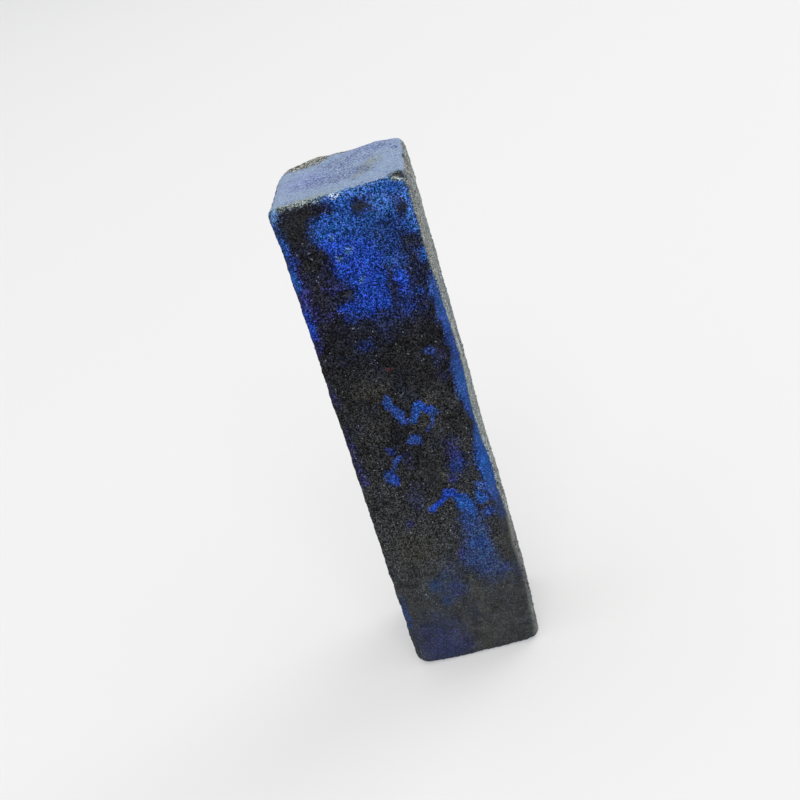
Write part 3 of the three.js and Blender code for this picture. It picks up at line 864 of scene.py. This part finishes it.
broken = smoothstep(chip_depth, *BROKEN_DEPTHS) * (1 - BROKEN_LESS_AT_BACK * on_back)
ground = towards(ground, GROUNDS["dark crust"], BROKEN_SHARE * broken)
ground = stained(ground, block, CHIP_PAINTED_SHADE, "chip")
ground = stained(ground, block, CHIP_PAINTED_LIGHT, "cream")
chip_painted_light_and_shade = strongest(block, CHIP_PAINTED_SHADE + CHIP_PAINTED_LIGHT, CHIP_SOFTNESS)
on_top *= (1 - broken) * (1 - chip_painted_light_and_shade)
print("broken points:", int((broken > 0.5).sum()))

# %% [markdown]
# ## The two layers together
# Every point now has a ground, and a share of other grains with a colour of their own: blue in the body,
# violet specks on the frosted top, dark grains in the crusts. Blue grains also tint what lies between
# them, and more so near the foot, where handling has rubbed the stone smooth.

# %% Shares and colours of the grains
BLUE_LOST = {"crust": 0.85, "break": 0.8, "lip": 0.6, "soot": 0.5}
CLUMP_SIZE, CLUMP_MIDDLE, CLUMPS = 1.0, 0.95, 0.3
TINT_BETWEEN, TINT_WHERE_RUBBED = 0.5, 0.35
RED_LOST_BETWEEN = 0.5
BLOTCH_SIZE, BLOTCH = 1.9, 0.35
RUBBED_BELOW = (7, 32)
SHADE_LOST_ON_TOP, GRIT_GRAINS = 0.6, 0.4

blue_share *= ((1 - on_top) * (1 - BLUE_LOST["crust"] * crusted) * (1 - BLUE_LOST["break"] * broken)
               * (1 - on_foot) * (1 - chip_painted_light_and_shade))
blue_share *= (1 - BLUE_LOST["lip"] * lip) * (1 - BLUE_LOST["soot"] * sooty)
clumps = CLUMP_MIDDLE + CLUMPS * fractal(block, CLUMP_SIZE, 2, seed=33.0)
blue_share = np.clip(blue_share * clumps, 0, 1)
blue_colour *= 1 + BLOTCH * fractal(block, BLOTCH_SIZE, 3, seed=87.0)[:, None]
rubbed = fade(up, *RUBBED_BELOW)
ground = towards(ground, blue_colour, (TINT_BETWEEN + TINT_WHERE_RUBBED * rubbed) * blue_share)
ground[:, 0] *= 1 - RED_LOST_BETWEEN * blue_share
# Painted shade: the ground darkens in hollows and lightens on rises, less so on the frosted top.
ground *= (1 - CAVITY_SHADE * painted_cavity_shade * (1 - SHADE_LOST_ON_TOP * on_top))[:, None]
grains_in_ground = on_top * specks + dark_grains * (1 - on_top) + GRIT_GRAINS * gritty
other_share = blue_share + (1 - blue_share) * grains_in_ground
other_colour = towards(blue_colour, GROUNDS["speck"], on_top)
dark_here = np.maximum(crusted * (1 - blue_share), gritty) * (1 - on_top)
other_colour = towards(other_colour, GROUNDS["dark crust"], dark_here)
print("mean share of other grains", other_share.mean().round(3))

# %% [markdown]
# Evenness says how far the grains are rubbed alike in brightness. It is high on the frosted top, near
# the foot and down the smooth right arris, and the back's skin is even too. The sooty patches and the
# left arris high up are half even, and lower down the blue is more even than it is in the royal column.
# A few grains on the front lip get a painted white glint, and elsewhere hardly any do.

# %% Evenness and glints
RIGHT_ARRIS, RIGHT_ARRIS_ENDS, RIGHT_ARRIS_REACH = (9.4, 10.6), (66, 76), (0.5, 2)
LEFT_ARRIS, LEFT_ARRIS_STARTS = (10.3, 11.2), (56, 66)
BLUE_EVEN, BLUE_EVEN_LOW_DOWN, BLUE_EVEN_ENDS = 0.08, 0.25, (54, 66)
EVEN = {"top": 0.86, "specks": 0.35, "back": 0.68, "right": 0.42, "soot": 0.45, "left arris": 0.4,
        "grit": 0.1, "rubbed": 0.68, "right arris": 0.72}
# Painted highlights: the odds that a grain is coloured near white as a glint, and the spots on the front lip
# where they crowd.
FEW_PAINTED_GLINTS, GLINTS_LOST = 0.006, 0.7
LIP_PAINTED_GLINTS = [
    ((-0.6, -12.0, 89.6), (1.0, 1.0, 0.5), 0.6), ((-4.2, -12.0, 89.8), (3.4, 0.9, 0.5), 0.14),
    ((4.2, -12.0, 90.0), (4.2, 0.9, 0.5), 0.07),
]

right_arris = smoothstep(across, *RIGHT_ARRIS) * fade(up, *RIGHT_ARRIS_ENDS)
right_arris *= fade(inwards, FRONT + RIGHT_ARRIS_REACH[0], FRONT + RIGHT_ARRIS_REACH[1])
left_arris = smoothstep(-across, *LEFT_ARRIS) * smoothstep(up, *LEFT_ARRIS_STARTS)
blue_evenness = BLUE_EVEN + BLUE_EVEN_LOW_DOWN * fade(up, *BLUE_EVEN_ENDS)
evenness = np.maximum.reduce([
    (EVEN["top"] - EVEN["specks"] * specks) * on_top,
    EVEN["back"] * on_back + EVEN["right"] * on_right + blue_evenness * blue_share,
    EVEN["soot"] * sooty, EVEN["left arris"] * left_arris, EVEN["grit"] * gritty,
    EVEN["rubbed"] * rubbed, EVEN["right arris"] * right_arris,
])
painted_glint_odds = FEW_PAINTED_GLINTS * (1 - GLINTS_LOST * np.maximum.reduce([rubbed, blue_share, sooty]))
painted_glint_odds = np.maximum(painted_glint_odds, strongest(block, LIP_PAINTED_GLINTS))
print("mean evenness", evenness.mean().round(3), " mean odds of a glint", painted_glint_odds.mean().round(4))

# %% [markdown]
# ## The mesh
# The arrays go into a Blender mesh in one step each. The colours and shares are stored with the points
# as attributes, so the material can read them, and the unwrapped sheet becomes a UV map.

# %% Make the mesh
def mesh_object(name, points, faces):
    """A mesh object at the origin from arrays of points in millimetres and of triangles."""
    mesh = bpy.data.meshes.new(name)
    mesh.vertices.add(len(points))
    mesh.vertices.foreach_set("co", (points * MM).astype(np.float32).ravel())
    mesh.loops.add(3 * len(faces))
    mesh.loops.foreach_set("vertex_index", faces.astype(np.int32).ravel())
    mesh.polygons.add(len(faces))
    mesh.polygons.foreach_set("loop_start", np.arange(0, 3 * len(faces), 3, dtype=np.int32))
    mesh.update(calc_edges=True)
    thing = bpy.data.objects.new(name, mesh)
    bpy.context.scene.collection.objects.link(thing)
    return thing


def store_number(mesh, name, values):
    """Keeps one number for each point."""
    mesh.attributes.new(name, "FLOAT", "POINT").data.foreach_set("value", values.astype(np.float32))


def store_colour(mesh, name, colours):
    """Keeps one colour for each point, with an alpha of 1."""
    with_alpha = np.concatenate([colours, np.ones((len(colours), 1))], axis=1).astype(np.float32)
    mesh.attributes.new(name, "FLOAT_COLOR", "POINT").data.foreach_set("color", with_alpha.ravel())


stone = mesh_object("sapphire_block", block - middle, triangles)
for name, values in (("other_share", other_share), ("evenness", evenness), ("painted_glint_odds", painted_glint_odds)):
    store_number(stone.data, name, values)
for name, colours in (("other_colour", other_colour), ("ground_colour", ground)):
    store_colour(stone.data, name, colours)
sheet = stone.data.uv_layers.new(name="OFBake")
sheet.uv.foreach_set("vector", sheet_places.astype(np.float32).ravel())
print("mesh valid:", not stone.data.validate(), " size", np.array(stone.dimensions).round(5), "m")

# %% [markdown]
# ## The stone's finish
# Corundum is hard and glassy, but a skin of broken grains scatters light, so it looks matt. Its tiny
# glints are painted highlights: a few grains are coloured near white. A Voronoi texture, with cells of a
# grain's size, gives every grain its own luck: whether it is a blue one, how bright it is, which way it
# leans and how rough it is. The attributes only set the odds.

# %% Node helpers
def node(tree, kind, inputs=None, **settings):
    """Adds a shader node, sets its options, and sets or connects its inputs by name or number."""
    made = tree.nodes.new("ShaderNode" + kind)
    for name, value in settings.items():
        setattr(made, name, value)
    for name, value in (inputs or {}).items():
        if isinstance(value, bpy.types.NodeSocket):
            tree.links.new(value, made.inputs[name])
        else:
            made.inputs[name].default_value = value
    return made


def math_node(tree, operation, first, second):
    """One sum or product of two numbers."""
    return node(tree, "Math", {0: first, 1: second}, operation=operation).outputs[0]


def vector_node(tree, operation, inputs):
    """One sum, product or other step with vectors or colours."""
    return node(tree, "VectorMath", inputs, operation=operation).outputs[0]


def mixed_colour(tree, share, first, second):
    """The first colour where the share is 0, the second where it is 1."""
    return node(tree, "Mix", {0: share, 6: first, 7: second}, data_type="RGBA").outputs[2]


def stored(tree, name, output="Fac"):
    """What was kept with the points under this name."""
    return node(tree, "Attribute", attribute_name=name).outputs[output]


def spread(tree, value, low, high, to_low, to_high):
    """Maps low..high to to_low..to_high, and stops at those ends."""
    inputs = {"Value": value, "From Min": low, "From Max": high, "To Min": to_low, "To Max": to_high}
    return node(tree, "MapRange", inputs).outputs["Result"]


print("node helpers ready: node, math_node, vector_node, mixed_colour, stored, spread")

# %% [markdown]
# The material is built in the order in which it is thought of: which grain this is and what luck it has,
# its colour, its brightness, whether it gets a painted glint, how rough it is and which way it leans. Every
# grain's luck is three numbers, the red, green and blue of its cell, and each is put to more than one use.

# %% Colour and brightness of a grain
BLEND_OF_GRAINS = 0.45
DARKEST, BRIGHTEST = 0.1, 2.9
VIOLET_LEAN, TEAL_LEAN = (1.18, 0.87, 1.16, 1.0), (0.34, 1.13, 0.82, 1.0)
WARM_LEAN, COOL_LEAN = (1.12, 0.98, 0.91, 1.0), (0.88, 1.02, 1.09, 1.0)
PALE_FROM, PALEST = 0.55, 0.962
FINE_LEVELS, FINE_SHADES = (0.35, 0.65), (0.7, 1.3)


def grain_colour(tree, luck):
    """Ground or other colour by luck against the share, times two leans of hue, then a little paler."""
    violet_or_teal = mixed_colour(tree, luck.outputs[0], VIOLET_LEAN, TEAL_LEAN)
    other = vector_node(tree, "MULTIPLY", {0: stored(tree, "other_colour", "Color"), 1: violet_or_teal})
    ground_here = stored(tree, "ground_colour", "Color")
    reach = math_node(tree, "MULTIPLY", stored(tree, "other_share"), 1 + BLEND_OF_GRAINS)
    odds = math_node(tree, "SUBTRACT", reach, luck.outputs[0])
    colour = mixed_colour(tree, spread(tree, odds, 0.0, BLEND_OF_GRAINS, 0.0, 1.0), ground_here, other)
    warm_or_cool = mixed_colour(tree, luck.outputs[2], WARM_LEAN, COOL_LEAN)
    colour = vector_node(tree, "MULTIPLY", {0: colour, 1: warm_or_cool})
    palest = spread(tree, luck.outputs[1], PALE_FROM, 1.0, 1.0, PALEST)
    return node(tree, "HueSaturation", {"Color": colour, "Saturation": palest}).outputs[0]


def grain_brightness(tree, luck, fine):
    """Luck squared, spread from darkest to brightest, drawn towards 1 by evenness, times fine noise."""
    brightness = math_node(tree, "MULTIPLY", luck.outputs[1], luck.outputs[1])
    brightness = spread(tree, brightness, 0.0, 1.0, DARKEST, BRIGHTEST)
    brightness = node(tree, "Mix", {0: stored(tree, "evenness"), 2: brightness, 3: 1.0}).outputs[0]
    return math_node(tree, "MULTIPLY", brightness, spread(tree, fine, *FINE_LEVELS, *FINE_SHADES))


print("grains are", DARKEST, "to", BRIGHTEST, "times as bright as their own colour")

# %% Slope of a grain
MIDDLE_LUCK, GRAIN_LEAN = (0.5, 0.5, 0.5), 0.55
FINE_BUMP, FINE_BUMP_HEIGHT = 0.5, 0.00003


def grain_slope(tree, grain, fine):
    """The normal plus the grain's own lean, brought back to length 1, and bumped by the fine noise."""
    lean = vector_node(tree, "SUBTRACT", {0: grain.outputs["Color"], 1: MIDDLE_LUCK})
    lean = vector_node(tree, "SCALE", {0: lean, "Scale": GRAIN_LEAN})
    facing_here = node(tree, "NewGeometry").outputs["Normal"]
    leaning = vector_node(tree, "ADD", {0: facing_here, 1: lean})
    bump = {"Height": fine, "Strength": FINE_BUMP, "Distance": FINE_BUMP_HEIGHT,
            "Normal": vector_node(tree, "NORMALIZE", {0: leaning})}
    return node(tree, "Bump", bump).outputs[0]


farthest_lean = math.asin(GRAIN_LEAN * math.sqrt(3) / 2)
print("a grain leans by at most", round(math.degrees(farthest_lean)), "degrees")

# %% [markdown]
# Last the parts are joined. The index of refraction is corundum's own, 1.77, but the sheen is nearly
# off, since broken grains scatter what a polished face would mirror. The brighter a grain's luck, the
# smoother it is too, and a glint is smoother still.

# %% The sapphire material
GRAIN, FINE_GRAIN, FINE_DETAIL = 0.0002, 0.00011, 2.0
# The colour of a painted glint: a near white laid on a grain as a highlight.
PAINTED_GLINT_COLOUR, GLINT_EDGE = (0.8, 0.86, 0.92, 1.0), 1.002
FAINTEST_GLINT, GLINT_RISE = 0.16, 1.4
ROUGHEST, SMOOTHEST, SMOOTHER_GLINT = 0.72, 0.42, 0.25
CORUNDUM_IOR, SHEEN_OF_BROKEN_GRAINS = 1.77, 0.02


def sapphire_material():
    """Each grain's colour times its brightness, a painted white glint where its luck beats the odds, its own
    slope.
    """
    material = bpy.data.materials.new("sugary_sapphire")
    material.use_nodes = True
    tree = material.node_tree
    tree.nodes.clear()
    place = node(tree, "TexCoord").outputs["Object"]
    grain = node(tree, "TexVoronoi", {"Vector": place, "Scale": 1 / GRAIN})
    luck = node(tree, "SeparateColor", {0: grain.outputs["Color"]})
    fine_noise = {"Vector": place, "Scale": 1 / FINE_GRAIN, "Detail": FINE_DETAIL}
    fine = node(tree, "TexNoise", fine_noise).outputs[0]
    brightness = grain_brightness(tree, luck, fine)
    shaded = vector_node(tree, "SCALE", {0: grain_colour(tree, luck), "Scale": brightness})
    # Painted glint: a grain whose luck beats the odds is coloured near white, and brighter where the odds
    # are high.
    painted_glint_odds_here = stored(tree, "painted_glint_odds")
    glint = spread(tree, math_node(tree, "ADD", luck.outputs[2], painted_glint_odds_here), 1.0, GLINT_EDGE, 0.0, 1.0)
    how_bright = spread(tree, painted_glint_odds_here, 0.0, 1.0, FAINTEST_GLINT, GLINT_RISE)
    colour = mixed_colour(tree, math_node(tree, "MULTIPLY", glint, how_bright), shaded, PAINTED_GLINT_COLOUR)
    roughness = spread(tree, luck.outputs[1], 0.0, 1.0, ROUGHEST, SMOOTHEST)
    roughness = math_node(tree, "SUBTRACT", roughness, math_node(tree, "MULTIPLY", glint, SMOOTHER_GLINT))
    skin = node(tree, "BsdfPrincipled", {"Base Color": colour, "Roughness": roughness,
                                         "Normal": grain_slope(tree, grain, fine)})
    skin.inputs["IOR"].default_value = CORUNDUM_IOR
    skin.inputs["Specular IOR Level"].default_value = SHEEN_OF_BROKEN_GRAINS
    output = node(tree, "OutputMaterial")
    tree.links.new(skin.outputs[0], output.inputs["Surface"])
    return material


stone.data.materials.append(sapphire_material())
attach(stone, "root")
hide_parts(NODE)
print("material nodes:", len(stone.data.materials[0].node_tree.nodes))

# %% [markdown]
# ## Camera
# The camera looks down a little and is rolled to one side, so the upright bar leans across the view.
# Aiming it by a constraint would be quicker, but couldn't roll it. So a turn about the vertical, then a
# tilt, then a roll about the line of sight set it. Nothing is thrown out of focus.

# %% Camera
CAMERA_PLACE = np.array([26.95, -232.8, 144.9])
CAMERA_TURN, CAMERA_TILT, CAMERA_ROLL = 7.0, 22.51, -17.35
SENSOR, FOCAL_LENGTH = 36.0, 64.2
NEAREST_SEEN_M, FARTHEST_SEEN_M = 0.01, 20


def place_camera():
    """The place, then turn, tilt and roll as one product of matrices."""
    camera = bpy.data.objects.new("camera", bpy.data.cameras.new("camera"))
    bpy.context.scene.collection.objects.link(camera)
    camera.data.sensor_width, camera.data.lens = SENSOR, FOCAL_LENGTH
    camera.data.clip_start, camera.data.clip_end = NEAREST_SEEN_M, FARTHEST_SEEN_M
    turn = Matrix.Rotation(math.radians(CAMERA_TURN), 4, "Z")
    tilt = Matrix.Rotation(math.radians(90 - CAMERA_TILT), 4, "X")
    roll = Matrix.Rotation(math.radians(CAMERA_ROLL), 4, "Z")
    camera.matrix_world = Matrix.Translation((CAMERA_PLACE - middle) * MM) @ turn @ tilt @ roll
    bpy.context.scene.camera = camera


place_camera()
print("camera at", (CAMERA_PLACE - middle).round(1), "mm, lens", FOCAL_LENGTH, "mm")

# %% [markdown]
# ## Floor
# A plain pale floor lets the stone stand on something and cast a soft shadow. It is a disc so broad that
# its rim is hardly seen, and its rings widen outwards, since detail is only needed near the stone. It also
# shines a little, as paper on a light table does, which keeps it near white without flooding the stone.

# %% Make the floor
FLOOR_RADIUS_M, RINGS, SPOKES = 6.0, 12, 96
FLOOR_COLOUR, FLOOR_ROUGHNESS, FLOOR_SHEEN = (0.585, 0.575, 0.563, 1), 0.7, 0.2
FLOOR_GLOW_COLOUR, FLOOR_GLOW = (1.0, 1.0, 1.0, 1), 0.25


def pale_floor():
    """Rings whose radius grows as the square of their number, each joined to the next by triangles."""
    radius = FLOOR_RADIUS_M * (np.arange(1, RINGS + 1) / RINGS) ** 2
    angle = np.arange(SPOKES) * 2 * np.pi / SPOKES
    ring_points = np.stack([np.outer(radius, np.cos(angle)), np.outer(radius, np.sin(angle)),
                            np.zeros((RINGS, SPOKES))], axis=-1).reshape(-1, 3)
    points = np.concatenate([np.zeros((1, 3)), ring_points]) / MM
    step = np.arange(SPOKES)
    after = (step + 1) % SPOKES
    faces = [np.stack([np.zeros(SPOKES, int), 1 + step, 1 + after], axis=1)]
    for ring in range(RINGS - 1):
        near, far = 1 + ring * SPOKES, 1 + (ring + 1) * SPOKES
        faces.append(np.stack([near + step, far + step, far + after], axis=1))
        faces.append(np.stack([near + step, far + after, near + after], axis=1))
    floor = mesh_object("floor", points, np.concatenate(faces))
    material = bpy.data.materials.new("pale_floor")
    material.use_nodes = True
    skin = material.node_tree.nodes["Principled BSDF"]
    skin.inputs["Base Color"].default_value = FLOOR_COLOUR
    skin.inputs["Emission Color"].default_value = FLOOR_GLOW_COLOUR
    skin.inputs["Emission Strength"].default_value = FLOOR_GLOW
    skin.inputs["Roughness"].default_value = FLOOR_ROUGHNESS
    skin.inputs["Specular IOR Level"].default_value = FLOOR_SHEEN
    floor.data.materials.append(material)
    return floor


print("floor triangles:", len(pale_floor().data.polygons))

# %% [markdown]
# ## Light
# A pale room lights a stone from all sides at once. So there is a bright sky all round, and two large
# soft windows for the shading: one high up in front, and a weaker one behind and to the right. A sun
# would give hard shadows. Area lights of more than a metre give the broad, faint ones of daylight.

# %% Light
SKY_COLOUR, SKY_STRENGTH = (0.95, 0.97, 1.0, 1), 0.8
# Each window: its place and its size in metres, and its power in watts.
FRONT_WINDOW = ((0.25, -2.0, 1.7), 1.6, 29.0)
BACK_WINDOW = ((1.6, 1.3, 1.7), 1.6, 16.0)


def soft_window(name, place_m, size_m, power):
    """A square area light that looks at the middle of the bar: its own Z points straight away from it."""
    light = bpy.data.lights.new(name, "AREA")
    light.size, light.energy = size_m, power
    lamp = bpy.data.objects.new(name, light)
    bpy.context.scene.collection.objects.link(lamp)
    aim = Vector(place_m) - Vector((0, 0, TOP * MM / 2))
    lamp.matrix_world = Matrix.Translation(place_m) @ aim.to_track_quat("Z", "Y").to_matrix().to_4x4()


world = bpy.data.worlds.new("pale_room")
world.use_nodes = True
sky = world.node_tree.nodes["Background"]
sky.inputs["Color"].default_value = SKY_COLOUR
sky.inputs["Strength"].default_value = SKY_STRENGTH
bpy.context.scene.world = world
soft_window("front_window", *FRONT_WINDOW)
soft_window("back_window", *BACK_WINDOW)
bpy.context.scene.view_settings.view_transform = "Standard"
